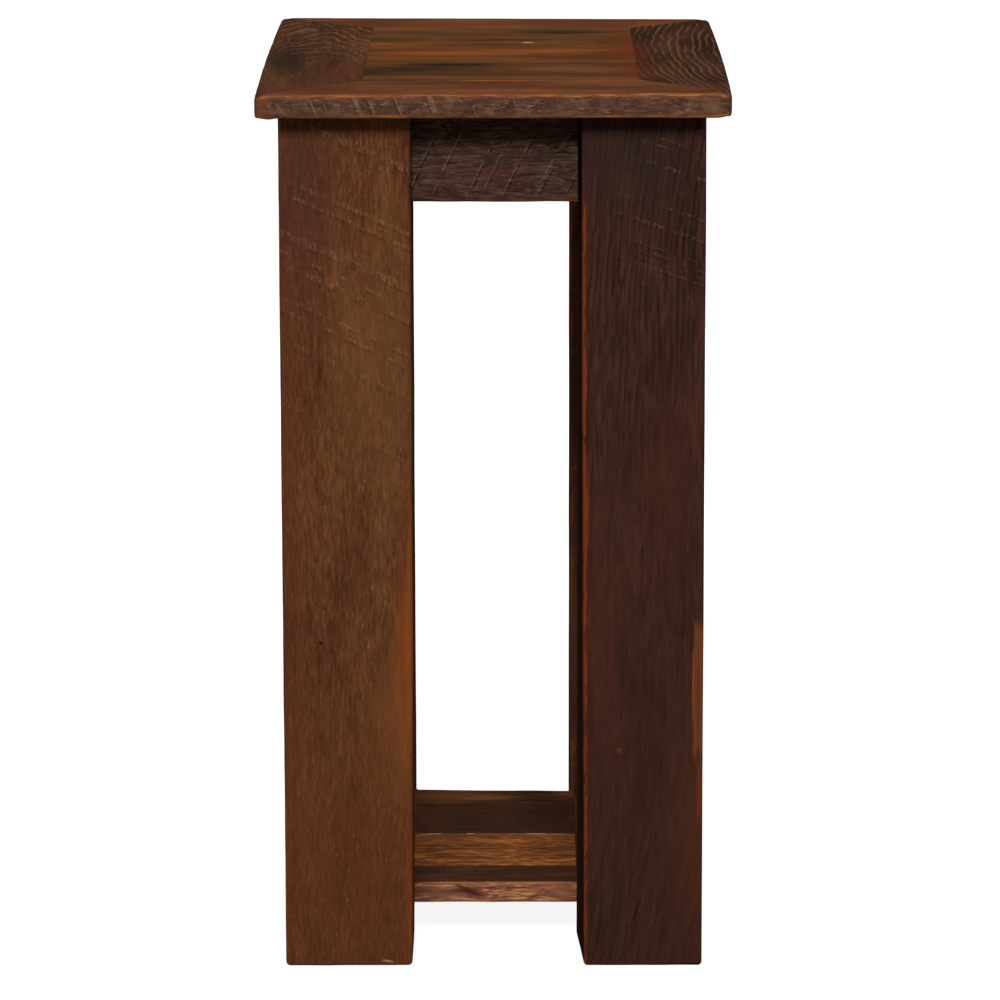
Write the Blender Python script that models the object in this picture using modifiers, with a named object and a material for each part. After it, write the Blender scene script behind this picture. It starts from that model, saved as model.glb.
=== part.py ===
"""A narrow rustic nightstand of reclaimed timber, built the way a joiner would build it.

Four thick square legs are mortised for the aprons and for the rails of a low shelf.
The top is a mitred border, keyed at its corners, around boards that are tongued into it.
Wooden cleats inside the aprons take the screws that hold the top down.

Metres, +Z up, front towards -Y, origin on the floor under the middle of the top.
"""

from math import atan2, pi, radians

import bmesh
import bpy
from mathutils import Vector

# Overall size
TABLE_HEIGHT = 0.635
TOP_WIDTH = 0.332
TOP_DEPTH = 0.457
TOP_OVERHANG = 0.0166

# Clearance between pieces that touch
FIT = 0.0003

# Top: mitred border and the boards inside it
TOP_THICKNESS = 0.016
TOP_CORNER_RADIUS = 0.005
TOP_EDGE_RADIUS = 0.0025
FRONT_BORDER_WIDTH = 0.076
BACK_BORDER_WIDTH = 0.064
LEFT_BORDER_WIDTH = 0.0735
RIGHT_BORDER_WIDTH = 0.062
FRONT_FIELD_BOARD_WIDTH = 0.113
MIDDLE_FIELD_BOARD_WIDTH = 0.107
TONGUE_THICKNESS = 0.005
TONGUE_LENGTH = 0.005
MITRE_KEY_LENGTH = 0.036
MITRE_KEY_WIDTH = 0.018
MITRE_KEY_THICKNESS = 0.004

# Legs: reclaimed timbers, each sawn a little differently
FRONT_LEFT_LEG_WIDTH = 0.0908
FRONT_RIGHT_LEG_WIDTH = 0.0895
BACK_LEFT_LEG_WIDTH = 0.0863
BACK_RIGHT_LEG_WIDTH = 0.0918
LEG_DEPTH = 0.0825
LEG_ROUNDOVER = 0.0045

# Aprons under the top
APRON_HEIGHT = 0.0637
APRON_THICKNESS = 0.016
APRON_SETBACK = 0.013

# Tenons of the aprons and shelf rails
TENON_THICKNESS = 0.007
TENON_LENGTH = 0.030
TENON_SHOULDER = 0.010
MORTISE_END_ROOM = 0.0008

# Low shelf: two side rails and four boards across
SHELF_HEIGHT = 0.0404
SHELF_THICKNESS = 0.0165
SHELF_RAIL_WIDTH = 0.0757
SHELF_RAIL_SETBACK = 0.013
SHELF_FRONT_BOARD_WIDTH = 0.0442
SHELF_SECOND_BOARD_WIDTH = 0.0898
SHELF_BACK_BOARD_WIDTH = 0.0355
BOARD_ARRIS = 0.0010

# Cleats and screws that hold the top down
CLEAT_WIDTH = 0.020
CLEAT_HEIGHT = 0.022
CLEAT_END_GAP = 0.012
SCREW_SHANK_RADIUS = 0.0020
SCREW_HEAD_RADIUS = 0.0038
SCREW_HEAD_HEIGHT = 0.0025
SCREW_TIP_LENGTH = 0.0040
SCREW_GRIP = 0.0100
SCREW_SETOUT = 0.0062
SCREW_END_DISTANCE = 0.010
SCREW_SPACING = 0.012

# How finely round forms are divided
ROUND_SEGMENTS = 3
CORNER_SEGMENTS = 4
SCREW_SEGMENTS = 12
MERGE_DISTANCE = 0.00005
SHARP_ANGLE = radians(60)
# How far a cutter stands past the face that it opens
CUT_PAST = 0.002
# How far a border board's mitres run past the corner before the top is trimmed
MITRE_RUN_PAST = 0.015

# Places worked out from the sizes above
LEG_OUTER_X = TOP_WIDTH / 2 - TOP_OVERHANG
LEG_OUTER_Y = TOP_DEPTH / 2 - TOP_OVERHANG
LEG_INNER_Y = LEG_OUTER_Y - LEG_DEPTH
TOP_UNDERSIDE = TABLE_HEIGHT - TOP_THICKNESS
FRAME_TOP = TOP_UNDERSIDE - FIT
APRON_BOTTOM = FRAME_TOP - APRON_HEIGHT
TONGUE_Z = TABLE_HEIGHT - TOP_THICKNESS / 2
SHELF_MIDDLE = SHELF_HEIGHT - SHELF_THICKNESS / 2
SHELF_RAIL_OUTER = LEG_OUTER_X - SHELF_RAIL_SETBACK
SHELF_RAIL_INNER = SHELF_RAIL_OUTER - SHELF_RAIL_WIDTH
FIELD_LEFT = LEFT_BORDER_WIDTH - TOP_WIDTH / 2
FIELD_RIGHT = TOP_WIDTH / 2 - RIGHT_BORDER_WIDTH
FIELD_FRONT = FRONT_BORDER_WIDTH - TOP_DEPTH / 2
FIELD_BACK = TOP_DEPTH / 2 - BACK_BORDER_WIDTH

LEG_WIDTHS = {
    "front_left": FRONT_LEFT_LEG_WIDTH,
    "front_right": FRONT_RIGHT_LEG_WIDTH,
    "back_left": BACK_LEFT_LEG_WIDTH,
    "back_right": BACK_RIGHT_LEG_WIDTH,
}
SIDES = {"left": -1, "right": 1}
ENDS = {"front": -1, "back": 1}

# Colours of the timbers, sRGB
WOOD_COLOURS = {
    "front_left_leg": "5d3620",
    "front_right_leg": "3a221a",
    "back_left_leg": "4a2d1f",
    "back_right_leg": "53321f",
    "front_apron": "3e2a23",
    "back_apron": "4a3025",
    "left_apron": "523421",
    "right_apron": "432a20",
    "top_front_border": "5e3925",
    "top_back_border": "683e28",
    "top_left_border": "4b2e20",
    "top_right_border": "452c1f",
    "top_front_field_board": "523421",
    "top_middle_field_board": "643921",
    "top_back_field_board": "563723",
    "shelf_left_rail": "4d2f20",
    "shelf_right_rail": "3c261b",
    "shelf_front_board": "392419",
    "shelf_second_board": "66391f",
    "shelf_third_board": "2f1e15",
    "shelf_back_board": "432819",
}
KEY_COLOUR = "8a6a45"
CLEAT_COLOUR = "6f5238"
STEEL_COLOUR = "8c8984"
WOOD_ROUGHNESS = 0.55
STEEL_ROUGHNESS = 0.35


def clear_scene():
    for item in list(bpy.data.objects):
        bpy.data.objects.remove(item, do_unlink=True)


def new_collection(name):
    collection = bpy.data.collections.new(name)
    bpy.context.scene.collection.children.link(collection)
    return collection


def linear(channel):
    return channel / 12.92 if channel <= 0.04045 else ((channel + 0.055) / 1.055) ** 2.4


def new_material(name, colour, roughness, metallic=0.0):
    material = bpy.data.materials.new(name)
    material.use_nodes = True
    shader = material.node_tree.nodes["Principled BSDF"]
    red, green, blue = (linear(value / 255) for value in bytes.fromhex(colour))
    shader.inputs["Base Color"].default_value = (red, green, blue, 1.0)
    shader.inputs["Roughness"].default_value = roughness
    shader.inputs["Metallic"].default_value = metallic
    return material


def add_object(name, mesh, centre, collection):
    item = bpy.data.objects.new(name, mesh)
    item.location = centre
    collection.objects.link(item)
    return item


def add_box(name, low, high, collection):
    """A box between two corners, with its object at the box's centre."""
    low = Vector(low)
    high = Vector(high)
    form = bmesh.new()
    bmesh.ops.create_cube(form, size=1)
    bmesh.ops.scale(form, vec=high - low, verts=form.verts)
    mesh = bpy.data.meshes.new(name)
    form.to_mesh(mesh)
    form.free()
    return add_object(name, mesh, (low + high) / 2, collection)


def as_cutter(item):
    item.hide_render = True
    item.display_type = "WIRE"
    return item


def add_cutter(name, low, high, room=0.0):
    """A box cutter, grown on every side by the clearance that its piece needs."""
    grow = Vector((room, room, room))
    return as_cutter(add_box(name, Vector(low) - grow, Vector(high) + grow, cutters))


def add_boolean(item, operation, other):
    modifier = item.modifiers.new(f"{operation.lower()} {other.name}", "BOOLEAN")
    modifier.operation = operation
    modifier.solver = "EXACT"
    modifier.object = other


def round_edges(item, radius, segments, chosen):
    """Bevels the edges whose two ends satisfy the given test."""
    mesh = item.data
    weights = mesh.attributes.new("bevel_weight_edge", "FLOAT", "EDGE")
    for edge in mesh.edges:
        first, second = (mesh.vertices[index].co for index in edge.vertices)
        weights.data[edge.index].value = 1.0 if chosen(first, second) else 0.0
    modifier = item.modifiers.new("rounded edges", "BEVEL")
    modifier.limit_method = "WEIGHT"
    modifier.width = radius
    modifier.segments = segments


def ease_edges(item):
    modifier = item.modifiers.new("eased arrises", "BEVEL")
    modifier.width = BOARD_ARRIS
    modifier.segments = 1


def add_board(name, low, high):
    """A plank with eased arrises in the colour of its own timber."""
    item = add_box(name, low, high, parts)
    ease_edges(item)
    item.data.materials.append(new_material(name, WOOD_COLOURS[name], WOOD_ROUGHNESS))
    return item


def add_tongue(board, low, high):
    """Joins a thinner slab to a board: what stands past the board is its tongue or tenon."""
    add_boolean(board, "UNION", as_cutter(add_box(f"{board.name}_tongue", low, high, cutters)))


def leg_inner_x(end, side):
    """The face of a leg that looks at the middle of the table."""
    return SIDES[side] * (LEG_OUTER_X - LEG_WIDTHS[f"{end}_{side}"])


def ordered(first, second):
    """The low and high corner of the box between two points."""
    pairs = list(zip(first, second))
    return Vector([min(pair) for pair in pairs]), Vector([max(pair) for pair in pairs])


def make_legs():
    """Square timbers with rounded long edges and feet, flat where the top lies on them."""
    legs = {}
    for end, y_sign in ENDS.items():
        for side, x_sign in SIDES.items():
            name = f"{end}_{side}_leg"
            outer = (x_sign * LEG_OUTER_X, y_sign * LEG_OUTER_Y, 0.0)
            inner = (leg_inner_x(end, side), y_sign * LEG_INNER_Y, FRAME_TOP)
            leg = add_box(name, *ordered(outer, inner), parts)
            round_edges(leg, LEG_ROUNDOVER, ROUND_SEGMENTS, lambda a, b: min(a.z, b.z) < 0)
            leg.data.materials.append(new_material(name, WOOD_COLOURS[name], WOOD_ROUGHNESS))
            leg.data.shade_smooth()
            leg.data.set_sharp_from_angle(angle=SHARP_ANGLE)
            legs[end, side] = leg
    return legs


def cut_mortises(legs, name, tenon_low, tenon_high, along):
    """Sinks a mortise in the two legs that a tenoned piece stands between."""
    room = Vector((FIT, FIT, FIT))
    room[along] = MORTISE_END_ROOM
    cutter = as_cutter(add_box(f"{name}_mortise", tenon_low - room, tenon_high + room, cutters))
    for leg in legs:
        add_boolean(leg, "DIFFERENCE", cutter)


def make_tenoned_board(name, low, high, along, shoulder_axis, legs):
    """A board between two legs, with a stub tenon at each end let into them."""
    board = add_board(name, low, high)
    thickness_axis = 3 - along - shoulder_axis
    centre = (low + high) / 2
    tenon_low = low.copy()
    tenon_high = high.copy()
    tenon_low[along] -= TENON_LENGTH
    tenon_high[along] += TENON_LENGTH
    tenon_low[shoulder_axis] += TENON_SHOULDER
    tenon_high[shoulder_axis] -= TENON_SHOULDER
    tenon_low[thickness_axis] = centre[thickness_axis] - TENON_THICKNESS / 2
    tenon_high[thickness_axis] = centre[thickness_axis] + TENON_THICKNESS / 2
    add_tongue(board, tenon_low, tenon_high)
    cut_mortises(legs, name, tenon_low, tenon_high, along)
    return board


def make_aprons(legs):
    """Four boards on edge under the top, set back from the faces of the legs."""
    aprons = {}
    for end, sign in ENDS.items():
        face = sign * (LEG_OUTER_Y - APRON_SETBACK)
        first = (leg_inner_x(end, "left") + FIT, face, APRON_BOTTOM)
        second = (leg_inner_x(end, "right") - FIT, face - sign * APRON_THICKNESS, FRAME_TOP)
        carriers = [legs[end, "left"], legs[end, "right"]]
        low, high = ordered(first, second)
        aprons[end] = make_tenoned_board(f"{end}_apron", low, high, 0, 2, carriers)
    for side, sign in SIDES.items():
        face = sign * (LEG_OUTER_X - APRON_SETBACK)
        first = (face, FIT - LEG_INNER_Y, APRON_BOTTOM)
        second = (face - sign * APRON_THICKNESS, LEG_INNER_Y - FIT, FRAME_TOP)
        carriers = [legs["front", side], legs["back", side]]
        low, high = ordered(first, second)
        aprons[side] = make_tenoned_board(f"{side}_apron", low, high, 1, 2, carriers)
    return aprons


def make_shelf(legs):
    """Side rails tenoned into the legs, and boards whose end tongues sit in the rails."""
    groove_reach = SHELF_RAIL_INNER + TONGUE_LENGTH
    half_tongue = TONGUE_THICKNESS / 2
    groove = add_cutter(
        "shelf_groove",
        (-groove_reach, -LEG_INNER_Y, SHELF_MIDDLE - half_tongue),
        (groove_reach, LEG_INNER_Y, SHELF_MIDDLE + half_tongue),
        FIT,
    )
    for side, sign in SIDES.items():
        first = (sign * SHELF_RAIL_INNER, FIT - LEG_INNER_Y, SHELF_HEIGHT - SHELF_THICKNESS)
        second = (sign * SHELF_RAIL_OUTER, LEG_INNER_Y - FIT, SHELF_HEIGHT)
        carriers = [legs["front", side], legs["back", side]]
        low, high = ordered(first, second)
        rail = make_tenoned_board(f"shelf_{side}_rail", low, high, 1, 0, carriers)
        add_boolean(rail, "DIFFERENCE", groove)

    # The third board is ripped to fill what the others leave.
    widths = [SHELF_FRONT_BOARD_WIDTH, SHELF_SECOND_BOARD_WIDTH, SHELF_BACK_BOARD_WIDTH]
    depth = 2 * (LEG_INNER_Y - FIT)
    widths.insert(2, depth - sum(widths) - FIT * len(widths))
    half_length = SHELF_RAIL_INNER - FIT
    front = FIT - LEG_INNER_Y
    for name, width in zip(("front", "second", "third", "back"), widths):
        board = add_board(
            f"shelf_{name}_board",
            (-half_length, front, SHELF_HEIGHT - SHELF_THICKNESS),
            (half_length, front + width, SHELF_HEIGHT),
        )
        reach = half_length + TONGUE_LENGTH
        add_tongue(
            board,
            (-reach, front + BOARD_ARRIS, SHELF_MIDDLE - half_tongue),
            (reach, front + width - BOARD_ARRIS, SHELF_MIDDLE + half_tongue),
        )
        front += width + FIT


def make_top_blank():
    """The whole top as one slab with its worn corners and edges, which trims the border."""
    corner = Vector((TOP_WIDTH / 2, TOP_DEPTH / 2, 0.0))
    low = Vector((-corner.x, -corner.y, TOP_UNDERSIDE))
    high = Vector((corner.x, corner.y, TABLE_HEIGHT))
    blank = as_cutter(add_box("top_blank", low, high, cutters))
    round_edges(blank, TOP_CORNER_RADIUS, CORNER_SEGMENTS, lambda a, b: abs(a.z - b.z) > 0)
    edges = blank.modifiers.new("worn edges", "BEVEL")
    edges.width = TOP_EDGE_RADIUS
    edges.segments = ROUND_SEGMENTS
    edges.angle_limit = SHARP_ANGLE
    return blank


def make_border_board(name, outer, inner, blank):
    """A mitred board: a block drawn in to its two mitre lines, then trimmed by the blank."""
    past = [out + (out - into).normalized() * MITRE_RUN_PAST for out, into in zip(outer, inner)]
    corners = [past[0], past[1], inner[1], inner[0]]
    centre = sum(corners, Vector((0.0, 0.0, 0.0))) / len(corners)
    centre.z = TONGUE_Z
    half_height = TOP_THICKNESS / 2 + CUT_PAST
    form = bmesh.new()
    ring = [form.verts.new(corner - centre.to_2d().to_3d()) for corner in corners]
    face = form.faces.new(ring)
    bmesh.ops.translate(form, vec=(0, 0, -half_height), verts=ring)
    grown = bmesh.ops.extrude_face_region(form, geom=[face])["geom"]
    raised = [item for item in grown if isinstance(item, bmesh.types.BMVert)]
    bmesh.ops.translate(form, vec=(0, 0, 2 * half_height), verts=raised)
    bmesh.ops.recalc_face_normals(form, faces=form.faces)
    mesh = bpy.data.meshes.new(name)
    form.to_mesh(mesh)
    form.free()
    board = add_object(name, mesh, centre, parts)
    board.data.materials.append(new_material(name, WOOD_COLOURS[name], WOOD_ROUGHNESS))
    add_boolean(board, "INTERSECT", blank)
    return board


def make_border(blank):
    """Four mitred boards round the top, grooved inside for the tongues of the field."""
    half_width = TOP_WIDTH / 2
    half_depth = TOP_DEPTH / 2
    outer = {
        ("front", "left"): Vector((-half_width, -half_depth, 0)),
        ("front", "right"): Vector((half_width, -half_depth, 0)),
        ("back", "left"): Vector((-half_width, half_depth, 0)),
        ("back", "right"): Vector((half_width, half_depth, 0)),
    }
    inner = {
        ("front", "left"): Vector((FIELD_LEFT, FIELD_FRONT, 0)),
        ("front", "right"): Vector((FIELD_RIGHT, FIELD_FRONT, 0)),
        ("back", "left"): Vector((FIELD_LEFT, FIELD_BACK, 0)),
        ("back", "right"): Vector((FIELD_RIGHT, FIELD_BACK, 0)),
    }
    border = {}
    for end in ENDS:
        # The mitres of the front and back boards are cut back by the clearance across them.
        outer_line = []
        inner_line = []
        for side, sign in SIDES.items():
            mitre = inner[end, side] - outer[end, side]
            gap = Vector((sign * FIT * mitre.length / abs(mitre.y), 0, 0))
            outer_line.append(outer[end, side] - gap)
            inner_line.append(inner[end, side] - gap)
        border[end] = make_border_board(f"top_{end}_border", outer_line, inner_line, blank)
    for side in SIDES:
        keys = [("front", side), ("back", side)]
        outer_line = [outer[key] for key in keys]
        inner_line = [inner[key] for key in keys]
        border[side] = make_border_board(f"top_{side}_border", outer_line, inner_line, blank)

    half_tongue = TONGUE_THICKNESS / 2
    groove = add_cutter(
        "top_groove",
        (FIELD_LEFT - TONGUE_LENGTH, FIELD_FRONT - TONGUE_LENGTH, TONGUE_Z - half_tongue),
        (FIELD_RIGHT + TONGUE_LENGTH, FIELD_BACK + TONGUE_LENGTH, TONGUE_Z + half_tongue),
        FIT,
    )
    for board in border.values():
        add_boolean(board, "DIFFERENCE", groove)
    for key in outer:
        make_mitre_key(key, outer[key], inner[key], border)
    return border


def make_mitre_key(corner, outer, inner, border):
    """A flat wooden key across a mitre, let into a slot in each of the two boards."""
    end, side = corner
    name = f"{end}_{side}_mitre_key"
    place = (outer + inner) / 2
    place.z = TONGUE_Z
    turn = atan2(inner.y - outer.y, inner.x - outer.x)
    size = Vector((MITRE_KEY_LENGTH, MITRE_KEY_WIDTH, MITRE_KEY_THICKNESS))
    key = add_box(name, -size / 2, size / 2, parts)
    slot = add_cutter(f"{name}_slot", -size / 2, size / 2, FIT)
    for item in (key, slot):
        item.location = place
        item.rotation_euler.z = turn
    key.data.materials.append(new_material(name, KEY_COLOUR, WOOD_ROUGHNESS))
    add_boolean(border[end], "DIFFERENCE", slot)
    add_boolean(border[side], "DIFFERENCE", slot)


def make_field():
    """The boards inside the border, running across, each tongued into the border round it."""
    depth = FIELD_BACK - FIELD_FRONT - 2 * FIT
    # The back board is ripped to fill what the others leave.
    widths = [FRONT_FIELD_BOARD_WIDTH, MIDDLE_FIELD_BOARD_WIDTH]
    widths.append(depth - sum(widths) - FIT * len(widths))
    boards = []
    left = FIELD_LEFT + FIT
    right = FIELD_RIGHT - FIT
    front = FIELD_FRONT + FIT
    half_tongue = TONGUE_THICKNESS / 2
    for name, width in zip(("front", "middle", "back"), widths):
        back = front + width
        board = add_board(
            f"top_{name}_field_board",
            (left, front, TOP_UNDERSIDE),
            (right, back, TABLE_HEIGHT),
        )
        tongue_front = front - TONGUE_LENGTH if name == "front" else front + BOARD_ARRIS
        tongue_back = back + TONGUE_LENGTH if name == "back" else back - BOARD_ARRIS
        add_tongue(
            board,
            (left - TONGUE_LENGTH, tongue_front, TONGUE_Z - half_tongue),
            (right + TONGUE_LENGTH, tongue_back, TONGUE_Z + half_tongue),
        )
        boards.append(board)
        front = back + FIT
    return boards


def screw_form(name, length, room, collection):
    """A countersunk wood screw as a turned profile, head up, grown by the given clearance."""
    shank = SCREW_SHANK_RADIUS + room
    head = SCREW_HEAD_RADIUS + room
    crown = CUT_PAST if room else 0.0
    end = -length - room
    outline = [(0.0, crown), (head, crown)]
    if room:
        outline.append((head, 0.0))
    outline += [(shank, -SCREW_HEAD_HEIGHT), (shank, end + SCREW_TIP_LENGTH), (0.0, end)]
    form = bmesh.new()
    points = [form.verts.new((radius, 0.0, height)) for radius, height in outline]
    for first, second in zip(points, points[1:]):
        form.edges.new((first, second))
    mesh = bpy.data.meshes.new(name)
    form.to_mesh(mesh)
    form.free()
    item = add_object(name, mesh, (0, 0, 0), collection)
    turned = item.modifiers.new("turned", "SCREW")
    turned.axis = "Z"
    turned.angle = 2 * pi
    turned.steps = SCREW_SEGMENTS
    turned.render_steps = SCREW_SEGMENTS
    turned.use_merge_vertices = True
    turned.merge_threshold = MERGE_DISTANCE
    return item


def drive_screw(name, place, direction, length, pieces):
    """Drives a screw at a point along a direction, and drills the pieces that it passes."""
    screw = screw_form(name, length, 0.0, parts)
    hole = screw_form(f"{name}_hole", length, FIT, cutters)
    as_cutter(hole)
    turn = Vector((0, 0, -1)).rotation_difference(Vector(direction)).to_euler()
    for item in (screw, hole):
        item.location = place
        item.rotation_euler = turn
    screw.data.materials.append(new_material(name, STEEL_COLOUR, STEEL_ROUGHNESS, 1.0))
    for piece in pieces:
        add_boolean(piece, "DIFFERENCE", hole)


def make_cleat(name, start, stop, wall, inwards, along, apron, top_boards):
    """A strip against an apron's inner face, screwed sideways to it and upwards to the top."""
    across = 1 - along
    top = FRAME_TOP
    first = Vector((0, 0, top - CLEAT_HEIGHT))
    second = Vector((0, 0, top))
    first[along] = start + CLEAT_END_GAP
    second[along] = stop - CLEAT_END_GAP
    first[across] = wall + inwards * FIT
    second[across] = wall + inwards * (FIT + CLEAT_WIDTH)
    low, high = ordered(first, second)
    cleat = add_box(f"{name}_top_cleat", low, high, parts)
    ease_edges(cleat)
    cleat.data.materials.append(new_material(cleat.name, CLEAT_COLOUR, WOOD_ROUGHNESS))

    sideways = Vector((0, 0, 0))
    sideways[across] = -inwards
    ends = {"start": (low[along], 1), "stop": (high[along], -1)}
    for word, (edge, sign) in ends.items():
        upright = Vector((0, 0, low.z))
        upright[along] = edge + sign * SCREW_END_DISTANCE
        upright[across] = wall + inwards * (FIT + SCREW_SETOUT)
        length = CLEAT_HEIGHT + FIT + SCREW_GRIP
        drive_screw(f"{name}_top_screw_{word}", upright, (0, 0, 1), length, [cleat, *top_boards])
        level = Vector((0, 0, top - CLEAT_HEIGHT / 2))
        level[along] = edge + sign * (SCREW_END_DISTANCE + SCREW_SPACING)
        level[across] = wall + inwards * (FIT + CLEAT_WIDTH)
        length = CLEAT_WIDTH + FIT + SCREW_GRIP
        drive_screw(f"{name}_apron_screw_{word}", level, sideways, length, [cleat, apron])


def make_cleats(aprons, border, field):
    """One cleat inside each apron, under the border board that runs above it."""
    for end, sign in ENDS.items():
        wall = sign * (LEG_OUTER_Y - APRON_SETBACK - APRON_THICKNESS)
        start = leg_inner_x(end, "left")
        stop = leg_inner_x(end, "right")
        make_cleat(end, start, stop, wall, -sign, 0, aprons[end], [border[end], *field])
    for side, sign in SIDES.items():
        wall = sign * (LEG_OUTER_X - APRON_SETBACK - APRON_THICKNESS)
        make_cleat(
            side, -LEG_INNER_Y, LEG_INNER_Y, wall, -sign, 1, aprons[side], [border[side], *field]
        )


clear_scene()
parts = new_collection("rustic nightstand")
cutters = new_collection("cutters")
leg_set = make_legs()
apron_set = make_aprons(leg_set)
make_shelf(leg_set)
border_set = make_border(make_top_blank())
field_set = make_field()
make_cleats(apron_set, border_set, field_set)
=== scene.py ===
# %% [markdown]
# # A narrow nightstand of reclaimed timber
#
# The real piece is a small side table: four heavy legs sawn from old beams, a framed top and a low shelf.
# Its charm is in the surface, where every board comes from another wall or floor and keeps its own colour.
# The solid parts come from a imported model, which stays as it is. This lesson gives each board a finer skin,
# with worn edges and uneven faces, and then a wood finish that is drawn by shader nodes alone.

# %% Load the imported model
import math

import bmesh
import bpy
from mathutils import Matrix, Vector, noise


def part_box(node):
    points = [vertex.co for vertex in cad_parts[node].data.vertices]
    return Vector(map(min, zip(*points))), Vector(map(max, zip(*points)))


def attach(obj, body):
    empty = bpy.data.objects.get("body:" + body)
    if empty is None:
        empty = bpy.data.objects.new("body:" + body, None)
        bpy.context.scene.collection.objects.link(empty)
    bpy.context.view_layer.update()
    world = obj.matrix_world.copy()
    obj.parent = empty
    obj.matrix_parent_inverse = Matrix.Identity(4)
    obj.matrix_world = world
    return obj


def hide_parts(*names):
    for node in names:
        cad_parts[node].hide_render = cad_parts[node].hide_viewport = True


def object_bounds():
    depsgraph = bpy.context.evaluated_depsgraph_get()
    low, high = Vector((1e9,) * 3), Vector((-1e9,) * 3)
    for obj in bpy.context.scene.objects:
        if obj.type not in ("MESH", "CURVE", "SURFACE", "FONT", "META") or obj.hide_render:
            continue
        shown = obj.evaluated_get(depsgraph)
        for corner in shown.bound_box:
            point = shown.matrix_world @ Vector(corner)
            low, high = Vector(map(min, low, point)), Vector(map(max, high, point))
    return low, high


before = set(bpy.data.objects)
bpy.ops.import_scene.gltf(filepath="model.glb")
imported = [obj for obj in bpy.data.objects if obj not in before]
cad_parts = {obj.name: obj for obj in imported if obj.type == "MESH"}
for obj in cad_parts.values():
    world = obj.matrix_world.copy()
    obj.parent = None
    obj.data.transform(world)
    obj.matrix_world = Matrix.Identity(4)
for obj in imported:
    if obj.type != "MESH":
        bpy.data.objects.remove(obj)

cad_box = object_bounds()
MM = 0.001
print("solid parts:", len(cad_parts), "box:", [[round(c, 4) for c in corner] for corner in cad_box])

# %% [markdown]
# ## Colours and shader nodes
#
# A colour picked from a photograph is an sRGB value, and a shader works with linear light.
# One function turns the usual six-digit hex value into linear numbers, so the rest of the lesson can be
# read next to a colour picker. A second one adds a node, sets its options, fills its sockets with values or
# links, and hands back one of its outputs, so that the next node can take it.

# %% Colour and node helpers
def colour(hex_value):
    channels = [value / 255 for value in bytes.fromhex(hex_value)]
    linear = [c / 12.92 if c <= 0.04045 else ((c + 0.055) / 1.055) ** 2.4 for c in channels]
    return (*linear, 1.0)


def add(tree, kind, inputs=None, out=0, **options):
    node = tree.nodes.new("ShaderNode" + kind)
    for option, value in options.items():
        setattr(node, option, value)
    for socket, value in (inputs or {}).items():
        if isinstance(value, bpy.types.NodeSocket):
            tree.links.new(value, node.inputs[socket])
        else:
            node.inputs[socket].default_value = value
    return node.outputs[out]


print("a mid brown in linear light:", [round(c, 4) for c in colour("5d3721")])

# %% [markdown]
# ## The grain of a board
#
# Wood is a bundle of fibres, so every pattern in it is long one way and short the other two.
# All finishes here share one trick: the point on the board is turned until the fibres run along the first
# axis, and then a slow noise bends it sideways, as a tree grows round its branches. Patterns drawn in this
# grain space stretch along the fibres on any board, and show end grain where it was cut.

# %% Grain space
GRAIN_TURN = {
    "X": (0.0, 0.0, 0.0),
    "Y": (0.0, 0.0, math.radians(-90)),
    "Z": (0.0, math.radians(90), 0.0),
}


def grain_space(tree, look):
    place = add(tree, "TexCoord", out="Object")
    turn = GRAIN_TURN[look["grain"]]
    along = add(tree, "Mapping", {"Vector": place, "Location": look["cut_from"], "Rotation": turn})
    length, width, reach = (size * MM for size in look["sway"])
    slow = add(tree, "Mapping", {"Vector": along, "Scale": (1 / length, 1 / width, 1 / width)})
    sway = add(tree, "TexNoise", {"Vector": slow, "Scale": 1.0, "Detail": 2.0}, "Color")
    centred = add(tree, "VectorMath", {0: sway, 1: (0.5, 0.5, 0.5)}, operation="SUBTRACT")
    sideways = (0.0, reach, reach)
    bent = add(tree, "VectorMath", {0: centred, 1: sideways, 2: along}, operation="MULTIPLY_ADD")
    middle, bow, power = look["bow"]
    if bow:
        run = add(tree, "SeparateXYZ", {0: along})
        run = add(tree, "Math", {0: run, 1: middle}, operation="SUBTRACT")
        rise = add(tree, "Math", {0: run, 1: power}, operation="POWER")
        rise = add(tree, "Math", {0: rise, 1: bow}, operation="MULTIPLY")
        across = 2 if look["grain"] == "Z" else 1
        aside = add(tree, "CombineXYZ", {across: rise})
        bent = add(tree, "VectorMath", {0: bent, 1: aside}, operation="ADD")
    return place, bent


def streaks(tree, grain, length, width, detail=2.0):
    """A noise whose spots are as long and as wide as given, in millimetres along and across the fibres."""
    scale = (1 / (length * MM), 1 / (width * MM), 1 / (width * MM))
    fitted = add(tree, "Mapping", {"Vector": grain, "Scale": scale})
    return add(tree, "TexNoise", {"Vector": fitted, "Scale": 1.0, "Detail": detail, "Roughness": 0.65})


def band(tree, value, start, stop):
    """A soft step: 0 below start and 1 above stop, or the other way round if stop is the smaller."""
    low, high = (0.0, 1.0) if start < stop else (1.0, 0.0)
    ends = {"From Min": min(start, stop), "From Max": max(start, stop), "To Min": low, "To Max": high}
    return add(tree, "MapRange", {"Value": value, **ends}, interpolation_type="SMOOTHSTEP")
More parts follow.
